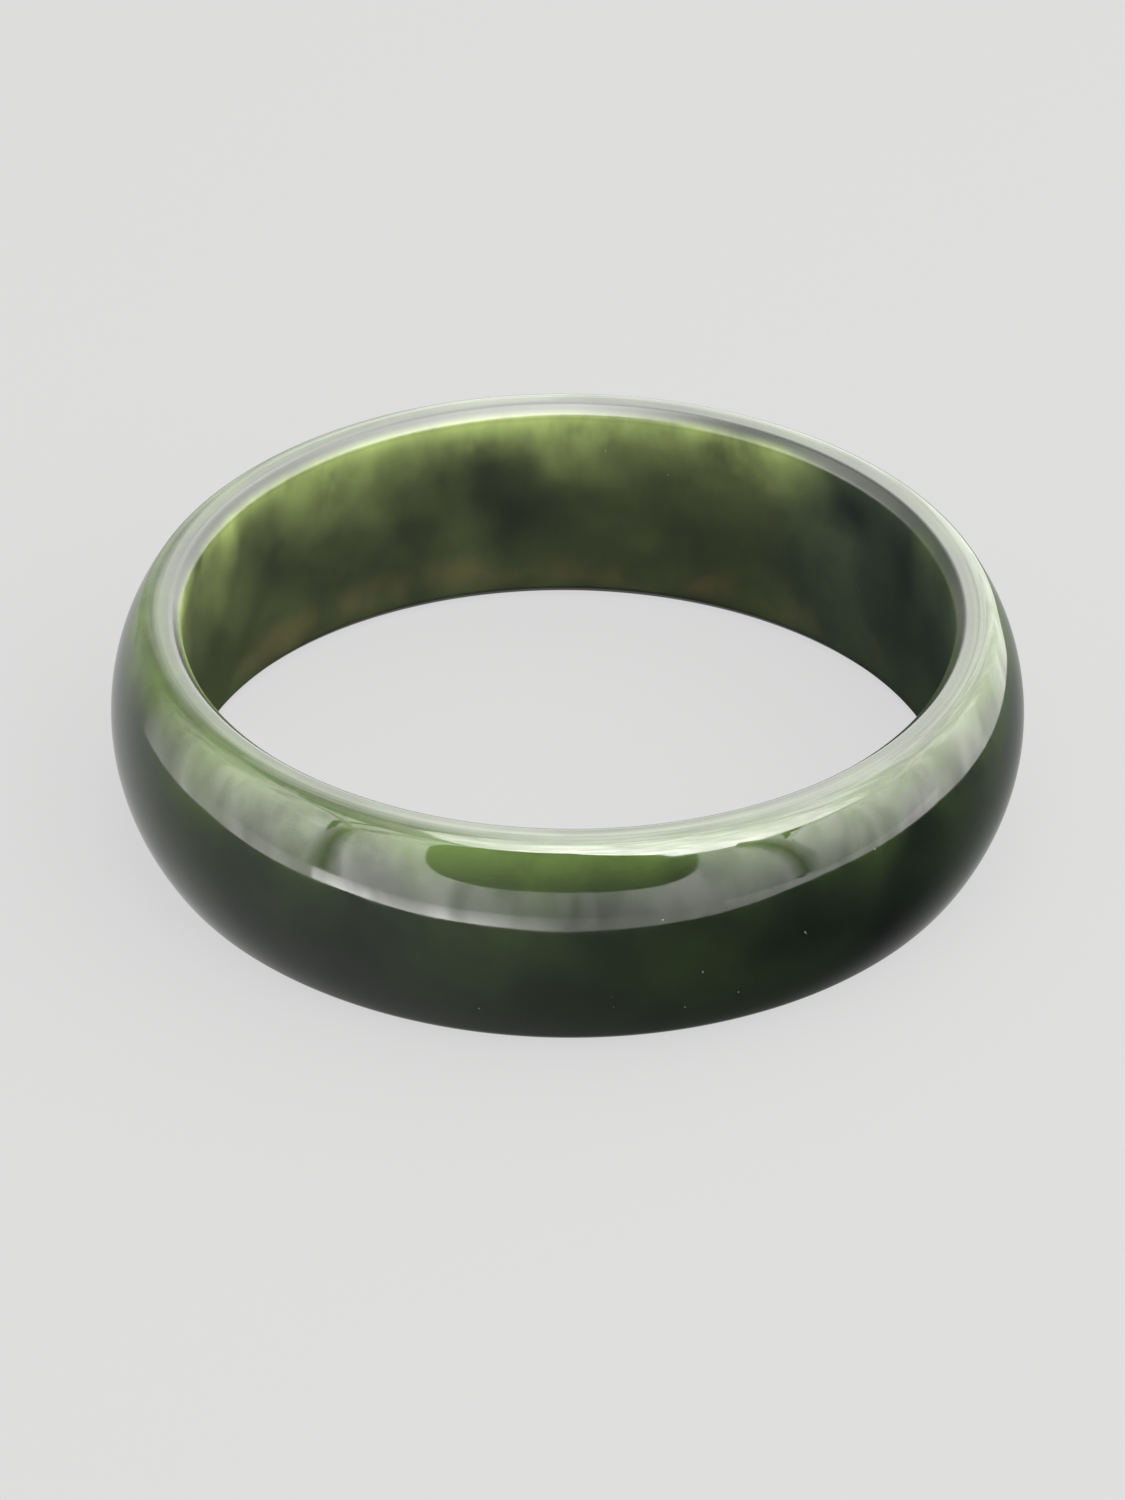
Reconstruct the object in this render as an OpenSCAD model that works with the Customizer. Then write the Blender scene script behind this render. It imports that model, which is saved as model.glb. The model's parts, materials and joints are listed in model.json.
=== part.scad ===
// Solid bangle carved from one ring of nephrite jade: a single closed piece, with no hinge,
// clasp, core or insert. It lies flat on one rim. The origin is the centre of that rim, and
// +Z is the axis of the wrist opening.

/* [Wrist opening] */
// Diameter of the opening, the size by which a bangle is sold
inner_d = 58; // [52:1:64]

/* [Band] */
// Height of the band along the axis of the opening
band_h = 17.4; // [14:0.2:24]
// Thickness of the wall at mid-height, where it is thickest
wall_t = 5.5; // [5:0.1:7]

/* [Edges] */
// Size of the bevels on the two edges beside the wrist, up the wall and across the rim
inner_bevel = 1.0; // [0.6:0.1:1.2]
// Radius that softens both corners of those bevels
bevel_corner_r = 0.5; // [0.2:0.05:0.5]
// Width of the flat land ground along each rim
land_w = 0.6; // [0.4:0.1:0.8]
// Radius of the two rounded edges between the domed face and the rims
outer_edge_r = 2.0; // [1.2:0.1:2.4]

/* [Hidden] */

// Facets of a full turn, and of a circle in the section
ring_fn = 240;
section_fn = 128;

// Distances from the axis at which the section changes shape
inner_r = inner_d / 2;
land_in_r = inner_r + inner_bevel;
land_out_r = land_in_r + land_w;
outer_r = inner_r + wall_t;

// Round edges stand proud of the faces they run into by two thousandths of a millimetre, so
// that the curves cross cleanly where they meet.
edge_proud = 0.002;

// The domed face is one arc that touches outer_r at mid-height and runs into both outer edges
blend_r = outer_edge_r - edge_proud;
mid_h = band_h / 2;
// From the centre of an outer edge to the crown of the dome, and to mid-height
crown = outer_r - land_out_r;
edge_rise = mid_h - outer_edge_r;
dome_r = (pow(crown, 2) + pow(edge_rise, 2) - pow(blend_r, 2)) / (2 * (crown - blend_r));
dome_x = outer_r - dome_r;
dome_angle = atan2(edge_rise, land_out_r - dome_x);

// A point beyond the domed face, in the direction of angle from the dome's centre
function past_dome(angle) = [dome_x, mid_h] + (dome_r + wall_t) * [cos(angle), sin(angle)];

// Two circles of one radius, their centres the same distance in from the top and the bottom
module edge_pair(x, r, inset) {
    for (z = [inset, band_h - inset])
        translate([x, z]) circle(r = r, $fn = section_fn);
}

// Both bevels beside the wrist, up to the centres of the circles that soften their corners
module bevel_fills() {
    reach = (bevel_corner_r - edge_proud) * [cos(225), sin(225)];
    wall_corner = [inner_r + bevel_corner_r, inner_bevel];
    rim_corner = [land_in_r, bevel_corner_r];
    lower = [[land_in_r, inner_bevel], wall_corner, wall_corner + reach, rim_corner + reach, rim_corner];
    polygon(lower);
    polygon([for (i = [len(lower) - 1 : -1 : 0]) [lower[i][0], band_h - lower[i][1]]]);
}

// Slice of the dome's disc that lies between the two outer edges
module dome_slice() {
    intersection() {
        translate([dome_x, mid_h]) circle(r = dome_r, $fn = section_fn);
        polygon([[dome_x, mid_h], past_dome(-dome_angle), past_dome(0), past_dome(dome_angle)]);
    }
}

// Section of the band, drawn with the axis of the opening at x = 0
module band_section() {
    // Straight wall of the opening
    translate([inner_r, inner_bevel])
        square([inner_bevel + land_w, band_h - 2 * inner_bevel]);
    // Flat lands, joined through the full height
    translate([land_in_r, 0]) square([land_w, band_h]);
    // Bevels beside the wrist, with softened corners
    bevel_fills();
    edge_pair(inner_r + bevel_corner_r, bevel_corner_r, inner_bevel);
    edge_pair(land_in_r, bevel_corner_r, bevel_corner_r);
    // Rounded outer edges and the domed face, kept outside the lands
    intersection() {
        union() {
            edge_pair(land_out_r, outer_edge_r, outer_edge_r);
            dome_slice();
        }
        translate([land_out_r, 0]) square([crown, band_h]);
    }
}

module bangle_ring() {
    color("#33422c")
        rotate_extrude($fn = ring_fn) band_section();
}

bangle_ring();
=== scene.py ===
"""Polished spinach-green nephrite bangle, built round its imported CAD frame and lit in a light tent."""

import json
import math

import bpy
from mathutils import Matrix, Vector, noise


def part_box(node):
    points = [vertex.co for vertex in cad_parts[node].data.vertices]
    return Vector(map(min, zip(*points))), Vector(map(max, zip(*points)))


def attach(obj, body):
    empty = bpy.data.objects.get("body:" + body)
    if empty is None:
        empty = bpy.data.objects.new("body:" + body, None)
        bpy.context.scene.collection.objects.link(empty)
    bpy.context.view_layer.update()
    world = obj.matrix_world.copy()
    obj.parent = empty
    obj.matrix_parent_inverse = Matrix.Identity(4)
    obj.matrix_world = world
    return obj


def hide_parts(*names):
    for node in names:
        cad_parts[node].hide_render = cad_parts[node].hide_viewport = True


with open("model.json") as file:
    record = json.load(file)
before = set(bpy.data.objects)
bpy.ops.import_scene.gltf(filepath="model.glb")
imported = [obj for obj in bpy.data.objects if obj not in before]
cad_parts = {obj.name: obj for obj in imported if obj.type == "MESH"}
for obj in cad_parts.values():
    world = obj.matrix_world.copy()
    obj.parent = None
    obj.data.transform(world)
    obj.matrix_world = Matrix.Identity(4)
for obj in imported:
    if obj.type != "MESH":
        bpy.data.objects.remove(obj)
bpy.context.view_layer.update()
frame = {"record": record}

MM = 0.001


# ---------------------------------------------------------------- sizes, from the frame

NODE = "bangle_ring"
mounts = {mount["name"]: mount for mount in frame["record"]["mounts"]}
low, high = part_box(NODE)
BAND_H = high.z - low.z
OUTER_R = (high.x - low.x) / 2
BORE_R = mounts["wrist_bore"]["dims"]["r_mm"] * MM
INNER_BEVEL = (BAND_H - mounts["wrist_bore"]["dims"]["length_mm"] * MM) / 2
BEVEL_CORNER_R = 0.5 * MM
LAND_IN_R = BORE_R + INNER_BEVEL
LAND_OUT_R = 2 * mounts["rest_face"]["pos_m"][0] - LAND_IN_R
OUTER_EDGE_R = 2.0 * MM
MID_H = BAND_H / 2


# ---------------------------------------------------------------- small helpers

def new_mesh(name, verts, faces, smooth=True):
    """A mesh object in the scene, from lists of points and faces."""
    data = bpy.data.meshes.new(name)
    data.from_pydata(verts, [], faces)
    data.update()
    if smooth:
        data.polygons.foreach_set("use_smooth", [True] * len(data.polygons))
    obj = bpy.data.objects.new(name, data)
    bpy.context.scene.collection.objects.link(obj)
    return obj


def new_material(name):
    """An empty node material, its tree and its output node."""
    material = bpy.data.materials.new(name)
    material.use_nodes = True
    tree = material.node_tree
    tree.nodes.clear()
    return material, tree, tree.nodes.new("ShaderNodeOutputMaterial")


def blend(a, b, t):
    return a + (b - a) * t


def add_node(tree, kind, inputs=None, **settings):
    """A new node, with its settings made and its inputs linked or set."""
    node = tree.nodes.new("ShaderNode" + kind)
    for name, value in settings.items():
        setattr(node, name, value)
    for socket, value in (inputs or {}).items():
        if isinstance(value, bpy.types.NodeSocket):
            tree.links.new(value, node.inputs[socket])
        else:
            node.inputs[socket].default_value = value
    return node


def maths(tree, operation, a, b=0.0):
    return add_node(tree, "Math", {0: a, 1: b}, operation=operation).outputs[0]


def vector_maths(tree, operation, a, b):
    return add_node(tree, "VectorMath", {0: a, 1: b}, operation=operation).outputs[0]


def level(tree, value, start, stop, out_start=0.0, out_stop=1.0):
    """The value carried from one range to another, with smooth ends and nothing beyond them."""
    sockets = {
        "Value": value,
        "From Min": start,
        "From Max": stop,
        "To Min": out_start,
        "To Max": out_stop,
    }
    return add_node(tree, "MapRange", sockets, interpolation_type="SMOOTHSTEP").outputs[0]


def noise_at(tree, place, size, detail=3.0):
    """Noise from 0 to 1 whose lumps are about this size, in metres."""
    sockets = {"Vector": place, "Scale": 1 / size, "Detail": detail, "Roughness": 0.5}
    return add_node(tree, "TexNoise", sockets).outputs["Fac"]


# Most of the noise lies in this range
NOISE_RANGE = (0.3, 0.7)


def noise_level(tree, noise_value, out_start, out_stop):
    """Noise carried to a range of its own."""
    return level(tree, noise_value, *NOISE_RANGE, out_start, out_stop)


def product(tree, *factors):
    """All the factors multiplied together."""
    result = factors[0]
    for factor in factors[1:]:
        result = maths(tree, "MULTIPLY", result, factor)
    return result


def distance_from_axis(tree):
    """How far a point is from the bangle's axis."""
    place = add_node(tree, "TexCoord").outputs["Object"]
    across = vector_maths(tree, "MULTIPLY", place, (1, 1, 0))
    return add_node(tree, "VectorMath", {0: across}, operation="LENGTH").outputs["Value"]


def emission(tree, strength):
    return add_node(tree, "Emission", {"Strength": strength}).outputs[0]


def mix_colours(tree, factor, a, b, blend_type="MIX"):
    sockets = {0: factor, 6: a, 7: b}
    return add_node(tree, "Mix", sockets, data_type="RGBA", blend_type=blend_type).outputs[2]


# ---------------------------------------------------------------- camera

LENS_MM = 180.0
VIEW_DISTANCE = 572.0 * MM
VIEW_ELEVATION = math.radians(33.44)
VIEW_ROLL = math.radians(0.4)
# How far the camera stands to the right of, and above, the line through the rest face's centre
VIEW_RIGHT = -0.36 * MM
VIEW_UP = 3.73 * MM


def make_camera():
    toward = Vector((0, -math.cos(VIEW_ELEVATION), math.sin(VIEW_ELEVATION)))
    up = Vector((0, math.sin(VIEW_ELEVATION), math.cos(VIEW_ELEVATION)))
    right = Vector((1, 0, 0))
    axes = Matrix((right, up, toward)).transposed().to_4x4()
    place = toward * VIEW_DISTANCE + right * VIEW_RIGHT + up * VIEW_UP
    data = bpy.data.cameras.new("camera")
    data.lens = LENS_MM
    data.sensor_width = 36.0
    data.sensor_fit = "AUTO"
    camera = bpy.data.objects.new("camera", data)
    camera.matrix_world = Matrix.Translation(place) @ axes @ Matrix.Rotation(VIEW_ROLL, 4, "Z")
    bpy.context.scene.collection.objects.link(camera)
    bpy.context.scene.camera = camera


# ---------------------------------------------------------------- stage and light

# Near the bangle the floor is lit partly by the tent, so that it takes a shadow. Farther out it
# only glows, as brightly as the backdrop.
FLOOR_GLOW, BACKDROP_GLOW = 0.62, 0.735
FLOOR_ALBEDO = 0.02
FLOOR_NEAR, FLOOR_FAR = 0.12, 0.40
FLOOR_R = 4.0
# The backdrop meets the floor a little inside the floor's edge, and starts below it
BACKDROP_R = FLOOR_R * 0.98
BACKDROP_RINGS = 24
BACKDROP_START = -4
# Painted shade: a dark disc inside the bore, seen only in reflections, stands in for the shaded floor
# there. It reaches under the inner bevel, and is painted lighter where it nears the wall of the bore.
BORE_SHADE_R = LAND_IN_R + 0.3 * MM
BORE_SHADE_EDGE_LIGHT = 0.35
BORE_SHADE_EDGE_WIDTH = 0.4 * MM
TENT_R = 0.5
# Steps round the floor, the shade disc, the backdrop and the camera's opening
STAGE_STEPS = 96


def disc(name, radius):
    """A flat disc at the height of the rim that the bangle rests on."""
    turns = [math.tau * i / STAGE_STEPS for i in range(STAGE_STEPS)]
    rim = [(radius * math.cos(turn), radius * math.sin(turn), low.z) for turn in turns]
    return new_mesh(name, rim, [list(range(STAGE_STEPS))], smooth=False)


def make_floor():
    """A pale floor. It glows a little, so the bangle's shadow on it stays soft and pale."""
    floor = disc("floor", FLOOR_R)
    material, tree, out = new_material("floor")
    distance = distance_from_axis(tree)
    diffuse = add_node(tree, "BsdfDiffuse", {"Color": (FLOOR_ALBEDO, FLOOR_ALBEDO, FLOOR_ALBEDO, 1)})
    lit = add_node(tree, "AddShader", {0: diffuse.outputs[0], 1: emission(tree, FLOOR_GLOW)})
    far = level(tree, distance, FLOOR_NEAR, FLOOR_FAR)
    both = add_node(tree, "MixShader", {0: far, 1: lit.outputs[0], 2: emission(tree, BACKDROP_GLOW)})
    tree.links.new(both.outputs[0], out.inputs["Surface"])
    floor.data.materials.append(material)
    floor.visible_glossy = False
    floor.visible_diffuse = False
    floor.visible_transmission = False


def make_bore_shade_disc():
    """Painted shade: a dark disc inside the bore, seen only in the stone, for the shaded floor there.
    Its edge is painted lighter.
    """
    shade_disc = disc("bore_shade_disc", BORE_SHADE_R)
    material, tree, out = new_material("painted_bore_shade")
    edge_light = level(tree, distance_from_axis(tree), BORE_R - BORE_SHADE_EDGE_WIDTH, LAND_IN_R, 0.0, BORE_SHADE_EDGE_LIGHT)
    tree.links.new(emission(tree, edge_light), out.inputs["Surface"])
    shade_disc.data.materials.append(material)
    shade_disc.visible_camera = False
    shade_disc.visible_diffuse = False
    shade_disc.visible_shadow = False


def ring_faces(rings):
    """Faces between closed rings of points that follow one another."""
    faces = []
    for i in range(rings):
        near, far = i * STAGE_STEPS, (i + 1) * STAGE_STEPS
        for j in range(STAGE_STEPS):
            k = (j + 1) % STAGE_STEPS
            faces.append((near + j, near + k, far + k, far + j))
    return faces


def make_backdrop():
    """A pale dome far behind everything. Only the camera sees it."""
    verts = []
    for i in range(BACKDROP_RINGS + 1):
        elevation = math.radians(blend(BACKDROP_START, 90, i / BACKDROP_RINGS))
        flat = BACKDROP_R * math.cos(elevation)
        for j in range(STAGE_STEPS):
            turn = math.tau * j / STAGE_STEPS
            verts.append((flat * math.cos(turn), flat * math.sin(turn), FLOOR_R * math.sin(elevation)))
    dome = new_mesh("backdrop", verts, ring_faces(BACKDROP_RINGS))
    material, tree, out = new_material("backdrop")
    tree.links.new(emission(tree, BACKDROP_GLOW), out.inputs["Surface"])
    dome.data.materials.append(material)
    dome.visible_glossy = False
    dome.visible_diffuse = False
    dome.visible_transmission = False
    dome.visible_shadow = False


def direction(azimuth, elevation):
    """Unit vector. Azimuth 0 is towards the front, -Y, and 90 is the right, +X."""
    a, e = math.radians(azimuth), math.radians(elevation)
    return Vector((math.cos(e) * math.sin(a), -math.cos(e) * math.cos(a), math.sin(e)))


def cloth_material():
    """Lit white cloth: its brightness is in the mesh, and folds add faint upright streaks."""
    material, tree, out = new_material("tent_cloth")
    glow = add_node(tree, "Attribute", attribute_name="glow").outputs["Fac"]
    place = add_node(tree, "TexCoord").outputs["Object"]
    stretched = vector_maths(tree, "MULTIPLY", place, FOLD_STRETCH)
    sockets = {"Vector": stretched, "Scale": 1.0, "Detail": 4.0, "Distortion": 0.8}
    folds = add_node(tree, "TexNoise", sockets).outputs["Fac"]
    streaks = noise_level(tree, folds, 1 - FOLD_DEPTH, 1 + FOLD_DEPTH)
    strength = product(tree, glow, streaks)
    emit = add_node(tree, "Emission", {"Color": CLOTH_COLOUR, "Strength": strength})
    tree.links.new(emit.outputs[0], out.inputs["Surface"])
    return material


# Each panel of the tent has four corners, lower left, lower right, upper left and upper right, and
# a corner is its azimuth, its elevation and its glow there.
TENT = {
    "lip_far_left": ((-124, -13, 0.7), (-92, -9.5, 3.2), (-124, -3, 0.4), (-92, -3, 2.9)),
    "lip_left": ((-92, -9.5, 3.2), (-59.5, -9, 3.6), (-92, -3, 2.9), (-59.5, -3, 3.2)),
    "lip_front_left": ((-59.5, -9, 9.6), (-30, -10, 8.6), (-59.5, -3, 5.6), (-30, -3, 4.4)),
    "lip_front_mid": ((-30, -10, 8.6), (0, -11, 2.1), (-30, -3, 4.4), (0, -3, 1.5)),
    "lip_front": ((0, -11, 2.2), (36, -9, 1.9), (0, -3, 1.7), (36, -3, 1.9)),
    "lip_front_right": ((36, -9, 1.7), (60, -5.5, 2.5), (36, -3, 2.4), (60, -3, 2.3)),
    "lip_right": ((60, -5.5, 2.5), (96, -8, 3.2), (60, -3, 2.2), (96, -3, 4.3)),
    "lip_far_right": ((96, -8, 2.8), (144, -16, 2.4), (96, -3, 3.6), (144, -3, 3.0)),
    "wall_far_left": ((-124, -3, 0.3), (-92, -3, 2.9), (-124, 50, 1.3), (-92, 50, 3.7)),
    "wall_left_low": ((-92, -3, 2.9), (-59.5, -3, 2.2), (-92, 16, 4.2), (-59.5, 16, 4.4)),
    "wall_left_high": ((-92, 16, 4.2), (-59.5, 16, 5.4), (-92, 50, 3.9), (-59.5, 50, 4.2)),
    "wall_right_low": ((55.5, -3, 1.3), (96, -3, 3.6), (55.5, 20, 5.2), (96, 20, 6.0)),
    "wall_far_right": ((96, -3, 3.6), (144, -3, 3.0), (96, 20, 6.0), (144, 20, 4.8)),
    "high_right": ((78, 20, 6.6), (144, 20, 4.0), (78, 50, 7.0), (144, 50, 6.2)),
    "back_right": ((144, -16, 2.2), (180, -12, 1.2), (144, 50, 6.4), (180, 50, 6.8)),
    "back_left": ((-180, -12, 1.2), (-166, -12, 0.8), (-180, 50, 8.0), (-166, 50, 4.0)),
    "back_left_mid": ((-166, -12, 0.8), (-140, -12, 0.4), (-166, 50, 4.0), (-140, 50, 1.1)),
    "gap_left": ((-140, 34, 0.9), (-124, 34, 0.7), (-140, 50, 2.0), (-124, 50, 1.3)),
    "roof_left": ((-124, 50, 0.9), (-28, 50, 1.9), (-124, 79, 2.2), (-60, 67, 3.9)),
    "roof_back_left": ((-180, 50, 6.0), (-124, 50, 1.3), (-180, 84, 8.0), (-124, 79, 3.8)),
    "roof_right": ((78, 50, 8.0), (180, 50, 5.8), (78, 84, 9.5), (180, 84, 8.0)),
    "key_low": ((25.5, 26, 16.0), (78, 19, 8.4), (1, 51, 14.5), (78, 51, 8.8)),
    "key_high": ((-2, 51, 14.5), (78, 51, 8.8), (-2, 84, 12.0), (78, 84, 10.5)),
    "key_left": ((-28, 50.5, 9.5), (-2, 51, 14.5), (-60, 67, 8.0), (-2, 67, 13.5)),
    "key_top": ((-60, 67, 8.5), (-2, 67, 13.5), (-124, 79, 5.0), (-2, 84, 12.0)),
    "cap": ((-180, 76, 8.0), (180, 76, 8.0), (-180, 90, 9.0), (180, 90, 9.0)),
}
# The key panels hang just inside the cloth, and the cap lies just outside it
PANEL_R = {"key_low": 0.495, "key_high": 0.495, "key_left": 0.495, "key_top": 0.495, "cap": 0.51}
# The front panel has the opening that the camera looks through: azimuth and elevation of its
# middle, half its width and half its height. It is an ellipse squared off by this power.
FRONT = ((-57.5, -3, 4.6), (53.5, -3, 1.5), (-57.5, 52, 4.6), (53.5, 52, 6.0))
OPENING = (-1, 30.5, 33.0, 20.0)
OPENING_POWER = 4.5
# Above and below the opening the front panel is dimmer, by this share, over about this many degrees
FRONT_DIM, FRONT_DIM_SPREAD = 0.55, 24.0
# Dark seams where the panels meet: width, glow in the middle and at the edges, then (azimuth,
# elevation) along the seam
SEAM_R = 0.49
SEAMS = {
    "seam_left": (11.0, 0.4, 3.2, ((-57, -3), (-57, 6), (-56.5, 14), (-54, 22))),
    "seam_left_up": (4.0, 1.6, 4.0, ((-54, 22), (-58, 32), (-67, 41), (-85, 49), (-105, 54))),
    "seam_left_in": (5.5, 1.9, 3.6, ((-54, 22), (-49.5, 31), (-48.5, 40), (-44, 49))),
    "seam_right": (9.0, 0.2, 2.2, ((56, -2), (55, 6), (52.5, 14), (48, 20), (42, 24))),
    "seam_right_up": (2.0, 2.8, 6.0, ((53, 16), (60, 20.5), (75, 19), (95, 14))),
}
# Each seam ends at this share of its full width
SEAM_END = 0.4
# The tent is one warm white cloth. Its folds are noise, this many lumps to the metre along X, Y and Z.
CLOTH_COLOUR = (1.0, 0.985, 0.96, 1)
FOLD_STRETCH = (14, 14, 3)
# How much brighter or dimmer a fold can be
FOLD_DEPTH = 0.22
# Panels are made of cells about this many degrees across, with at least three in each direction
PANEL_CELL = 5
PANEL_CELLS_LEAST = 3
FRONT_RINGS = 8
# The room beyond the tent: its brightness from left to right, and what is added to that from
# front to back. Each is two places along X or Y, on a unit sphere, and the brightness at each.
ROOM_LEFTWARD = (-0.95, 0.7, 0.50, 0.05)
ROOM_BACKWARD = (0.1, 0.95, 0.0, 0.40)


def spread_corners(corners, u, v):
    """Azimuth, elevation and glow at a place in a panel: u runs to its right and v upward."""
    lower = [blend(a, b, u) for a, b in zip(corners[0], corners[1])]
    upper = [blend(a, b, u) for a, b in zip(corners[2], corners[3])]
    return [blend(a, b, v) for a, b in zip(lower, upper)]


def finish_panel(name, spots, faces, radius, cloth):
    """A glowing panel. Each spot is an azimuth, an elevation and the glow there."""
    panel = new_mesh(name, [direction(a, e) * radius for a, e, glow in spots], faces)
    attribute = panel.data.attributes.new("glow", "FLOAT", "POINT")
    attribute.data.foreach_set("value", [glow for a, e, glow in spots])
    panel.data.materials.append(cloth)
    panel.visible_camera = False
    panel.visible_shadow = False


def grid_faces(columns, rows):
    faces = []
    for j in range(rows):
        for i in range(columns):
            k = j * (columns + 1) + i
            faces.append((k, k + 1, k + columns + 2, k + columns + 1))
    return faces


def make_panel(name, corners, cloth):
    azimuths = [corner[0] for corner in corners]
    elevations = [corner[1] for corner in corners]
    columns = max(PANEL_CELLS_LEAST, round((max(azimuths) - min(azimuths)) / PANEL_CELL))
    rows = max(PANEL_CELLS_LEAST, round((max(elevations) - min(elevations)) / PANEL_CELL))
    spots = []
    for j in range(rows + 1):
        spots += [spread_corners(corners, i / columns, j / rows) for i in range(columns + 1)]
    finish_panel(name, spots, grid_faces(columns, rows), PANEL_R.get(name, TENT_R), cloth)


def make_front(cloth):
    """The front panel, as rings that run from the rounded opening out to the straight edges."""
    (left, low_edge), (right, high_edge) = FRONT[0][:2], FRONT[3][:2]
    mid_a, mid_e, half_a, half_e = OPENING
    power = 2 / OPENING_POWER
    spots = []
    for ring in range(FRONT_RINGS + 1):
        for step in range(STAGE_STEPS):
            turn = math.tau * step / STAGE_STEPS
            c, d = math.cos(turn), math.sin(turn)
            inner_a = mid_a + half_a * math.copysign(abs(c) ** power, c)
            inner_e = mid_e + half_e * math.copysign(abs(d) ** power, d)
            reach = 1 / max(abs(c), abs(d))
            outer_a = blend(mid_a, right if c > 0 else left, abs(c) * reach)
            outer_e = blend(mid_e, high_edge if d > 0 else low_edge, abs(d) * reach)
            azimuth = blend(inner_a, outer_a, ring / FRONT_RINGS)
            elevation = blend(inner_e, outer_e, ring / FRONT_RINGS)
            u = (azimuth - left) / (right - left)
            v = (elevation - low_edge) / (high_edge - low_edge)
            dim = 1 - FRONT_DIM * math.exp(-((azimuth - mid_a) / FRONT_DIM_SPREAD) ** 2)
            spots.append((azimuth, elevation, spread_corners(FRONT, u, v)[2] * dim))
    finish_panel("wall_front", spots, ring_faces(FRONT_RINGS), TENT_R, cloth)


def make_seam(name, width, middle, edge, route, cloth):
    """A narrow strip along a seam, dark in the middle. It grows narrower towards its end."""
    spots = []
    for k, (azimuth, elevation) in enumerate(route):
        before, after = route[max(k - 1, 0)], route[min(k + 1, len(route) - 1)]
        run, climb = after[0] - before[0], after[1] - before[1]
        narrowing = blend(1, SEAM_END, k / (len(route) - 1))
        half = width / 2 * narrowing / math.hypot(run, climb)
        for side, glow in ((-1, edge), (0, middle), (1, edge)):
            spots.append((azimuth + side * climb * half, elevation - side * run * half, glow))
    finish_panel(name, spots, grid_faces(2, len(route) - 1), SEAM_R, cloth)


def make_world():
    """A dim grey room beyond the tent, lighter on the left and at the back."""
    world = bpy.data.worlds.new("room")
    world.use_nodes = True
    tree = world.node_tree
    tree.nodes.clear()
    out = tree.nodes.new("ShaderNodeOutputWorld")
    parts = add_node(tree, "SeparateXYZ", {0: add_node(tree, "TexCoord").outputs["Generated"]})
    leftward = level(tree, parts.outputs["X"], *ROOM_LEFTWARD)
    backward = level(tree, parts.outputs["Y"], *ROOM_BACKWARD)
    room = add_node(tree, "Background", {"Strength": maths(tree, "ADD", leftward, backward)})
    tree.links.new(room.outputs[0], out.inputs["Surface"])
    bpy.context.scene.world = world


def make_stage():
    make_floor()
    make_bore_shade_disc()
    make_backdrop()
    make_world()
    cloth = cloth_material()
    for name, corners in TENT.items():
        make_panel(name, corners, cloth)
    make_front(cloth)
    for name, seam in SEAMS.items():
        make_seam(name, *seam, cloth)


# ---------------------------------------------------------------- the bangle's shape

# Points round the ring, and along each stretch of the section
AROUND = 840
DOME_POINTS, OUTER_EDGE_POINTS, LAND_POINTS, WALL_POINTS = 38, 11, 2, 20
CORNER_POINTS, SLANT_POINTS = 6, 3
# The waves that hand polishing leaves: size, height, and how far the noise is shifted. They fade
# out towards the land that the bangle rests on, faster with a higher power.
REST_FADE_POWER = 4
POLISH_WAVES = (
    (7.0 * MM, 0.018 * MM, Vector((0, 0, 0))),
    (2.6 * MM, 0.0022 * MM, Vector((11, 5, 3))),
)


def arc(centre, radius, start, stop, count):
    """Points and outward normals along an arc in the section, from start to stop, in degrees."""
    found = []
    for i in range(count):
        a = math.radians(blend(start, stop, i / count))
        normal = (math.cos(a), math.sin(a))
        found.append(((centre[0] + radius * normal[0], centre[1] + radius * normal[1]), normal))
    return found


def line(start, stop, normal, count):
    return [((blend(start[0], stop[0], i / count), blend(start[1], stop[1], i / count)), normal)
            for i in range(count)]


def bevel(first, last, start):
    """A slanting face between two small rounded corners, given the corners' centres."""
    middle = start + 45
    (slant_start, normal), = arc(first, BEVEL_CORNER_R, middle, middle, 1)
    (slant_stop, normal), = arc(last, BEVEL_CORNER_R, middle, middle, 1)
    points = arc(first, BEVEL_CORNER_R, start, middle, CORNER_POINTS)
    points += line(slant_start, slant_stop, normal, SLANT_POINTS)
    points += arc(last, BEVEL_CORNER_R, middle, start + 90, CORNER_POINTS)
    return points


def band_section():
    """The band's closed section: (radius, height) points with normals, counter-clockwise."""
    crown = OUTER_R - LAND_OUT_R
    rise = MID_H - OUTER_EDGE_R
    dome_r = (crown ** 2 + rise ** 2 - OUTER_EDGE_R ** 2) / (2 * (crown - OUTER_EDGE_R))
    dome_x = OUTER_R - dome_r
    turn = math.degrees(math.atan2(rise, LAND_OUT_R - dome_x))
    bottom, top = 0.0, BAND_H
    # Heights of the ends of the bore's wall, and the radius of the corners' centres beside it
    wall_bottom, wall_top = bottom + INNER_BEVEL, top - INNER_BEVEL
    corner_x = BORE_R + BEVEL_CORNER_R
    points = arc((dome_x, MID_H), dome_r, -turn, turn, DOME_POINTS)
    points += arc((LAND_OUT_R, top - OUTER_EDGE_R), OUTER_EDGE_R, turn, 90, OUTER_EDGE_POINTS)
    points += line((LAND_OUT_R, top), (LAND_IN_R, top), (0, 1), LAND_POINTS)
    points += bevel((LAND_IN_R, top - BEVEL_CORNER_R), (corner_x, wall_top), 90)
    points += line((BORE_R, wall_top), (BORE_R, wall_bottom), (-1, 0), WALL_POINTS)
    points += bevel((corner_x, wall_bottom), (LAND_IN_R, bottom + BEVEL_CORNER_R), 180)
    points += line((LAND_IN_R, bottom), (LAND_OUT_R, bottom), (0, -1), LAND_POINTS)
    points += arc((LAND_OUT_R, bottom + OUTER_EDGE_R), OUTER_EDGE_R, 270, 360 - turn, OUTER_EDGE_POINTS)
    return points


def polish_wave(point):
    """Height of the hand-polished surface above its true shape: long, shallow waves."""
    return sum(height * noise.noise(point / size + shift) for size, height, shift in POLISH_WAVES)


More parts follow.
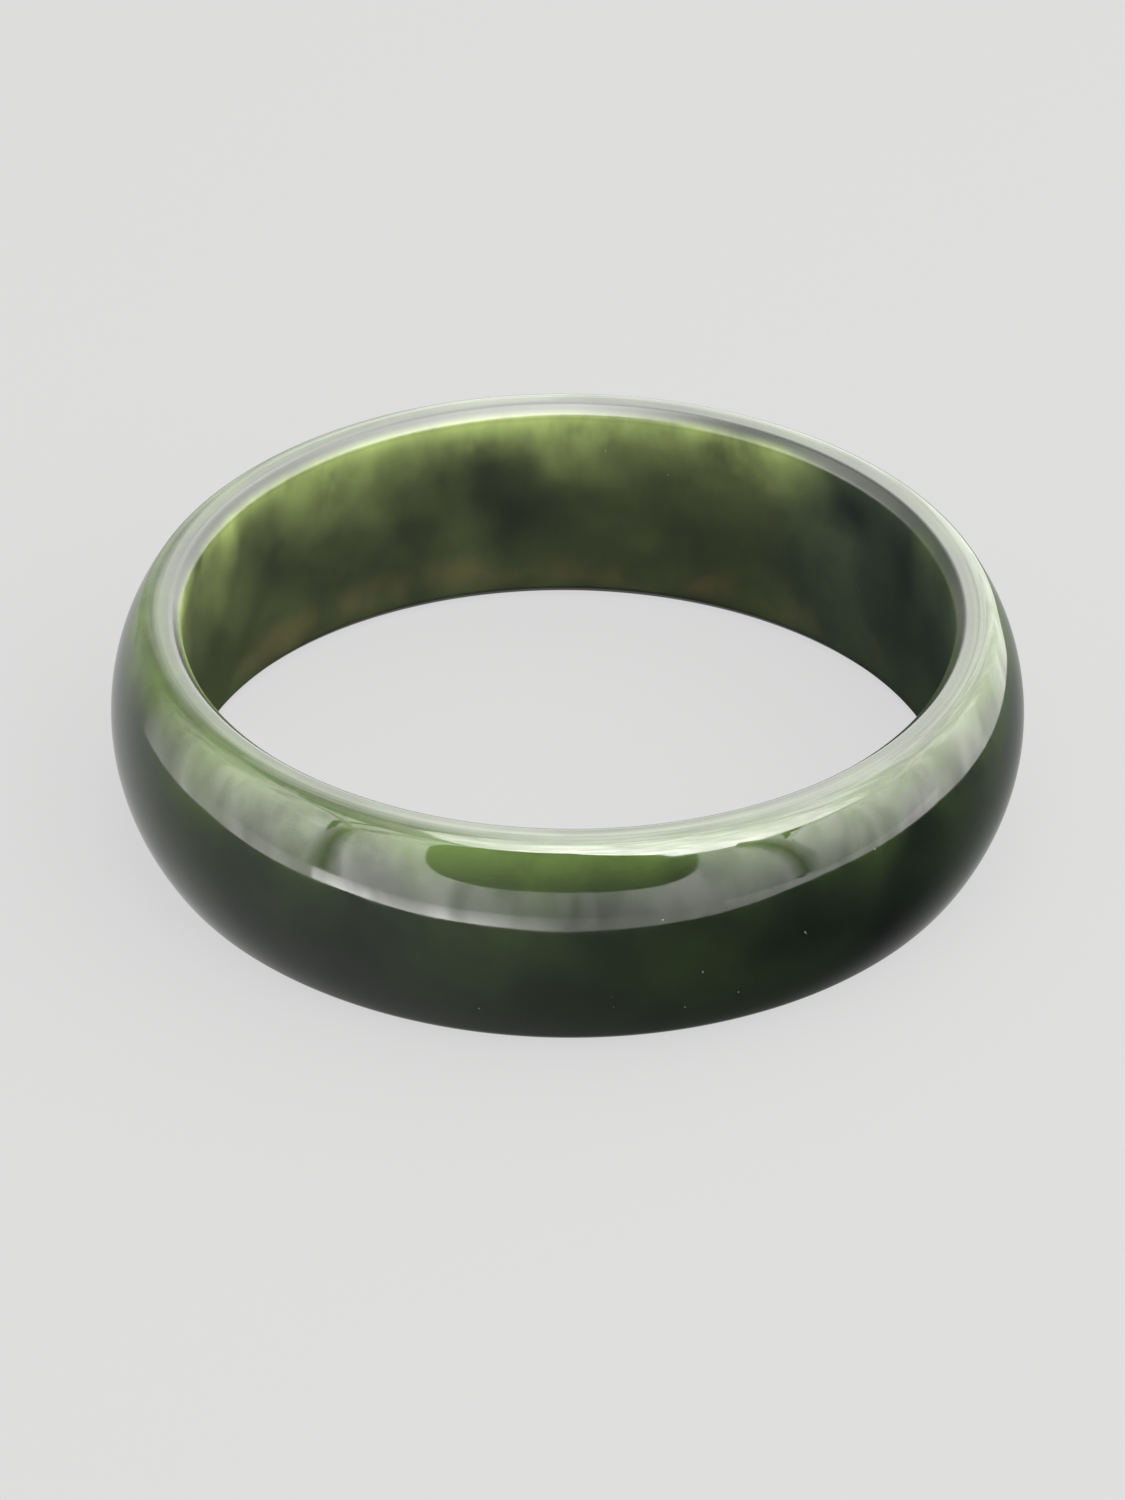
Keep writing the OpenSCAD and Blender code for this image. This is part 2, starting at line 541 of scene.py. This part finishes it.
def make_bangle():
    section = band_section()
    count = len(section)
    verts = []
    for i in range(AROUND):
        c, s = math.cos(math.tau * i / AROUND), math.sin(math.tau * i / AROUND)
        for (radius, height), (out, up) in section:
            point = Vector((radius * c, radius * s, height + low.z))
            normal = Vector((out * c, out * s, up))
            lift = polish_wave(point) * (1 - max(0.0, -up) ** REST_FADE_POWER)
            verts.append(point + normal * lift)
    faces = []
    for i in range(AROUND):
        j = (i + 1) % AROUND
        for k in range(count):
            m = (k + 1) % count
            faces.append((i * count + k, j * count + k, j * count + m, i * count + m))
    bangle = new_mesh("jade_bangle", verts, faces)
    bangle.data.materials.append(jade_material())
    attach(bangle, "root")
    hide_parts(NODE)


# ---------------------------------------------------------------- the stone

# Clouds in the stone: turn about the ring in degrees from +X, height, size, and how much darker it
# is, all lengths in millimetres. A pale cloud's darkness is negative. The first ones lie in the
# wall of the bore, and the others under the outer face.
CLOUDS_INSIDE_R, CLOUDS_OUTSIDE_R = 29.0, 33.5
CLOUDS_INSIDE = [
    (120, 8.0, 7.5, 0.22), (66, 6.5, 7.0, 0.10), (102, 11.5, 6.5, 0.30), (97, 7.5, 5.0, 0.16),
    (87, 5.0, 6.5, 0.16), (115, 9.5, 5.0, 0.12), (143, 10.0, 4.5, 0.26), (131, 7.5, 5.5, 0.22),
    (41, 15.0, 5.0, 0.34), (27, 13.5, 5.5, 0.24), (27, 9.0, 5.5, 0.16), (12, 9.5, 8.0, 0.18),
    (54, 11.5, 5.5, 0.06), (80, 9.5, 4.0, 0.08), (118, 15.0, 5.0, -0.10), (131, 14.6, 5.0, 0.06),
    (147, 14.0, 6.0, 0.06), (165, 15.2, 5.0, 0.20), (64, 15.2, 4.5, 0.26), (78, 15.0, 4.0, -0.02),
    (107, 4.5, 5.0, -0.06),
]
CLOUDS_OUTSIDE = [
    (-120, 7.5, 5.5, 0.26), (-117, 12.0, 4.0, 0.10), (-83, 11.5, 5.0, 0.22), (-91, 9.5, 3.6, 0.14),
    (-73, 10.5, 5.0, 0.18), (-61, 9.5, 7.0, 0.44), (-45, 6.5, 9.0, 0.50), (-40, 12.5, 4.0, 0.36),
    (-101, 9.5, 8.0, -0.16), (-106, 15.5, 5.0, -0.34), (-90, 16.5, 3.5, -0.08),
    (-52, 2.5, 5.0, 0.10), (-84, 4.0, 6.0, -0.04), (-150, 9.0, 12.0, -0.14), (-30, 11.5, 7.5, 0.26),
    (-16, 9.0, 6.0, 0.20), (20, 8.0, 6.0, 0.20), (58, 10.0, 8.0, -0.18), (92, 7.0, 6.0, 0.26),
    (128, 11.0, 9.0, -0.20), (160, 6.0, 6.0, 0.22),
]
# Every cloud's darkness counts for this much
CLOUD_DEPTH = 0.8
# Mottling, grain and fine wisps: size, noise detail, how much they darken or lighten the stone,
# and how much of the height the noise runs through, which draws the wisps out upward
STONE_GRAIN = (
    (7.0 * MM, 3.0, 0.10, 1.0),
    (2.0 * MM, 3.0, 0.035, 1.0),
    (0.6 * MM, 2.0, 0.02, 0.4),
)
# Swirls push every cloud about, up to half this far, so that its edge is uneven
SWIRL_SIZE, SWIRL_PUSH = 7.0 * MM, 2.8 * MM
# Colours of the stone, from the palest to the darkest, and the darkness at which each is met
STONE_COLOURS = [
    (0.00, (0.034, 0.050, 0.018)), (0.28, (0.0165, 0.0245, 0.0105)), (0.50, (0.0098, 0.0140, 0.0076)),
    (0.72, (0.0056, 0.0080, 0.0054)), (1.00, (0.0020, 0.0032, 0.0030)),
]
# Painted light and shade: the wall of the bore is painted lighter and warm, for the light that it
# passes, and the outside darker. On the right of the bore the painted light is bluer. The outside's
# darker tint takes over on the corners beside the wall.
BORE_LIGHT_TINT = (1.95, 1.72, 1.55, 1)
BORE_RIGHT_TINT = (1.8, 1.75, 2.2, 1)
OUTSIDE_SHADE_TINT = (0.60, 0.69, 0.58, 1)
LIGHT_TINT_EDGE = (BORE_R + 0.01 * MM, BORE_R + BEVEL_CORNER_R / 3)
# Painted glow: light that gets into the stone at its upper rim is painted into its colour, deeper
# down the bore than down the outside. Light that gets in through the bevel comes out lower down,
# so the bevel itself is painted with less glow.
GLOW_INSIDE, GLOW_INSIDE_DEPTH = (0.245, 0.310, 0.098, 1), 2.0 * MM
GLOW_OUTSIDE, GLOW_OUTSIDE_DEPTH = (0.040, 0.064, 0.013, 1), 1.7 * MM
GLOW_INSIDE_START = (0.25 * MM, 1.3 * MM)
GLOW_OUTSIDE_START = (-0.4 * MM, 1.2 * MM)
# The painted glow of the bore gives way to the painted glow of the outside across the land. Both
# reach unevenly deep, and both fade where the stone's darkness lies in this range.
GLOW_EDGE = (LAND_IN_R - 0.3 * MM, LAND_OUT_R)
GLOW_PATCH, GLOW_REACH = 9.0 * MM, (0.65, 1.4)
GLOW_FADE = (0.40, 0.90)
# Painted shade and light, by how the light falls: the right of the bore is painted with hardly
# any glow, and the outside is painted glowing most on the left
RIGHT_OF_BORE, RIGHT_GLOW_SHARE = (13 * MM, 22 * MM), 0.12
LEFT_OF_RING, LEFT_GLOW_SHARE = (-24 * MM, 6 * MM), 1.7
# Brown patches: their colour, the most they cover, their size, the noise at which they start and
# are full, and the heights between which they come and go
RUST, RUST_MOST = (0.072, 0.056, 0.026, 1), 0.32
RUST_SIZE, RUST_NOISE = 5.0 * MM, (0.42, 0.66)
RUST_BOTTOM, RUST_TOP = (0.7 * MM, 2.2 * MM), (2.8 * MM, 5.0 * MM)
# Pits in the polish, only in coarse patches of the stone, and from a little below the rim
PIT_GAP, PIT_R = 1.7 * MM, 0.075 * MM
PIT_FLOOR_R = 0.3 * PIT_R
PIT_COLOUR = (0.24, 0.26, 0.22, 1)
PIT_PATCH, PIT_NOISE = 6.0 * MM, (0.52, 0.64)
PIT_START = (0.5 * MM, 2.0 * MM)
# Relief of the polish: the peel is 1 high, and the fine unevenness and the pits are shares of that
PEEL_HEIGHT = 0.0014 * MM
PEEL_SIZE, FINE_SIZE = 1.1 * MM, 0.3 * MM
FINE_SHARE, PIT_SHARE = 0.12, 2.0
POLISH_PATCH, POLISH_ROUGHNESS = 3.0 * MM, (0.035, 0.07)
# The bore and its bevels are polished with a softer lap, which leaves them a satin finish
BORE_ROUGHNESS = 0.28
SATIN_EDGE = (LAND_IN_R - 0.5 * MM, LAND_IN_R + 0.3 * MM)
NEPHRITE_IOR = 1.61


def stone_place(tree):
    """Where a point lies in the stone, pushed about a little so that clouds have uneven edges."""
    place = add_node(tree, "TexCoord").outputs["Object"]
    sockets = {"Vector": place, "Scale": 1 / SWIRL_SIZE, "Detail": 1.0}
    swirl = add_node(tree, "TexNoise", sockets).outputs["Color"]
    push = vector_maths(tree, "SUBTRACT", swirl, (0.5, 0.5, 0.5))
    push = vector_maths(tree, "MULTIPLY", push, (SWIRL_PUSH, SWIRL_PUSH, SWIRL_PUSH))
    return place, vector_maths(tree, "ADD", place, push)


def stone_darkness(tree, pushed):
    """0 for the palest stone and 1 for the darkest: placed clouds, mottling and fine wisps."""
    total = 0.5
    for radius, clouds in ((CLOUDS_INSIDE_R, CLOUDS_INSIDE), (CLOUDS_OUTSIDE_R, CLOUDS_OUTSIDE)):
        for turn, height, size, depth in clouds:
            angle = math.radians(turn)
            centre = Vector((radius * math.cos(angle), radius * math.sin(angle), height)) * MM
            apart = add_node(tree, "VectorMath", {0: pushed, 1: centre}, operation="DISTANCE")
            cloud = level(tree, apart.outputs["Value"], 0.0, size * MM, depth * CLOUD_DEPTH, 0.0)
            total = maths(tree, "ADD", total, cloud)
    for size, detail, depth, upright in STONE_GRAIN:
        stretched = vector_maths(tree, "MULTIPLY", pushed, (1.0, 1.0, upright))
        patches = noise_level(tree, noise_at(tree, stretched, size, detail), -depth, depth)
        total = maths(tree, "ADD", total, patches)
    return total


def stone_colour(tree, darkness):
    """The stone's own colour, before any painted light, shade or glow."""
    ramp = add_node(tree, "ValToRGB", {"Fac": darkness})
    ramp.color_ramp.interpolation = "LINEAR"
    stops = ramp.color_ramp.elements
    while len(stops) < len(STONE_COLOURS):
        stops.new(0.5)
    for stop, (position, colour) in zip(stops, STONE_COLOURS):
        stop.position = position
        stop.color = (*colour, 1)
    return ramp.outputs["Color"]


def rust_amount(tree, pushed, height, inside):
    """Faint brown patches low on the bore wall."""
    patches = level(tree, noise_at(tree, pushed, RUST_SIZE), *RUST_NOISE)
    above = level(tree, height, *RUST_BOTTOM)
    below = level(tree, height, *RUST_TOP, 1.0, 0.0)
    return product(tree, patches, above, below, inside, RUST_MOST)


def pit_amount(tree, place, below_top):
    """1 at the pits: pinpricks in the polish, only where the stone is coarse and below the rim."""
    sockets = {"Vector": place, "Scale": 1 / PIT_GAP}
    nearest = add_node(tree, "TexVoronoi", sockets).outputs["Distance"]
    dots = level(tree, nearest, PIT_FLOOR_R / PIT_GAP, PIT_R / PIT_GAP, 1.0, 0.0)
    coarse = level(tree, noise_at(tree, place, PIT_PATCH), *PIT_NOISE)
    return product(tree, dots, coarse, level(tree, below_top, *PIT_START))


def polish_relief(tree, place, pits):
    """The normal of a hand-polished surface: orange peel, fine unevenness and the pits."""
    peel = noise_at(tree, place, PEEL_SIZE, 2.0)
    fine = noise_at(tree, place, FINE_SIZE, 2.0)
    height = maths(tree, "ADD", peel, product(tree, fine, FINE_SHARE))
    height = maths(tree, "SUBTRACT", height, product(tree, pits, PIT_SHARE))
    return add_node(tree, "Bump", {"Height": height, "Distance": PEEL_HEIGHT}).outputs["Normal"]


def painted_rim_glows(tree, inside, across, darkness):
    """Each painted glow of the upper rim: colour, depth, where it starts, and how strong it is here."""
    outside = maths(tree, "SUBTRACT", 1.0, inside)
    clear = level(tree, darkness, *GLOW_FADE, 1.0, 0.0)
    # Painted shade on the right of the bore, painted light on the outside's left
    dim_right = level(tree, level(tree, across, *RIGHT_OF_BORE), 0.0, 1.0, 1.0, RIGHT_GLOW_SHARE)
    bright_left = level(tree, across, *LEFT_OF_RING, LEFT_GLOW_SHARE, 1.0)
    return (
        (GLOW_INSIDE, GLOW_INSIDE_DEPTH, GLOW_INSIDE_START, product(tree, inside, dim_right, clear)),
        (GLOW_OUTSIDE, GLOW_OUTSIDE_DEPTH, GLOW_OUTSIDE_START, product(tree, outside, bright_left, clear)),
    )


def jade_material():
    """Polished green stone: clouds, painted light and shade on the bore wall, a painted glow along the
    upper rim, rust low in the bore, and fine pits.
    """
    material, tree, out = new_material("jade_stone")
    place, pushed = stone_place(tree)
    parts = add_node(tree, "SeparateXYZ", {0: place})
    across, height = parts.outputs["X"], parts.outputs["Z"]
    below_top = maths(tree, "SUBTRACT", BAND_H, height)
    radius = distance_from_axis(tree)

    darkness = stone_darkness(tree, pushed)
    # Painted light and shade: the bore wall lighter and warm, bluer on its right, the outside darker
    off_wall = level(tree, radius, *LIGHT_TINT_EDGE)
    bore_wall_light = mix_colours(tree, level(tree, across, *RIGHT_OF_BORE), BORE_LIGHT_TINT, BORE_RIGHT_TINT)
    tint = mix_colours(tree, off_wall, bore_wall_light, OUTSIDE_SHADE_TINT)
    colour = vector_maths(tree, "MULTIPLY", stone_colour(tree, darkness), tint)

    # Painted glow along the upper rim, added to the stone's colour
    inside = level(tree, radius, *GLOW_EDGE, 1.0, 0.0)
    reach = noise_level(tree, noise_at(tree, pushed, GLOW_PATCH), *GLOW_REACH)
    for glow, depth, start, strength in painted_rim_glows(tree, inside, across, darkness):
        fall = maths(tree, "EXPONENT", maths(tree, "DIVIDE", below_top, product(tree, reach, -depth)))
        amount = product(tree, fall, level(tree, below_top, *start), strength)
        colour = mix_colours(tree, amount, colour, glow, "ADD")

    colour = mix_colours(tree, rust_amount(tree, pushed, height, inside), colour, RUST)
    pits = pit_amount(tree, place, below_top)
    colour = mix_colours(tree, pits, colour, PIT_COLOUR)

    polish = noise_level(tree, noise_at(tree, place, POLISH_PATCH, 4.0), *POLISH_ROUGHNESS)
    in_bore = level(tree, radius, *SATIN_EDGE, 1.0, 0.0)
    stone = add_node(tree, "BsdfPrincipled", {
        "Base Color": colour,
        "Roughness": level(tree, in_bore, 0.0, 1.0, polish, BORE_ROUGHNESS),
        "Normal": polish_relief(tree, place, pits),
        "IOR": NEPHRITE_IOR,
    })
    tree.links.new(stone.outputs[0], out.inputs["Surface"])
    return material


bpy.context.scene.view_settings.view_transform = "Standard"
make_camera()
make_stage()
make_bangle()
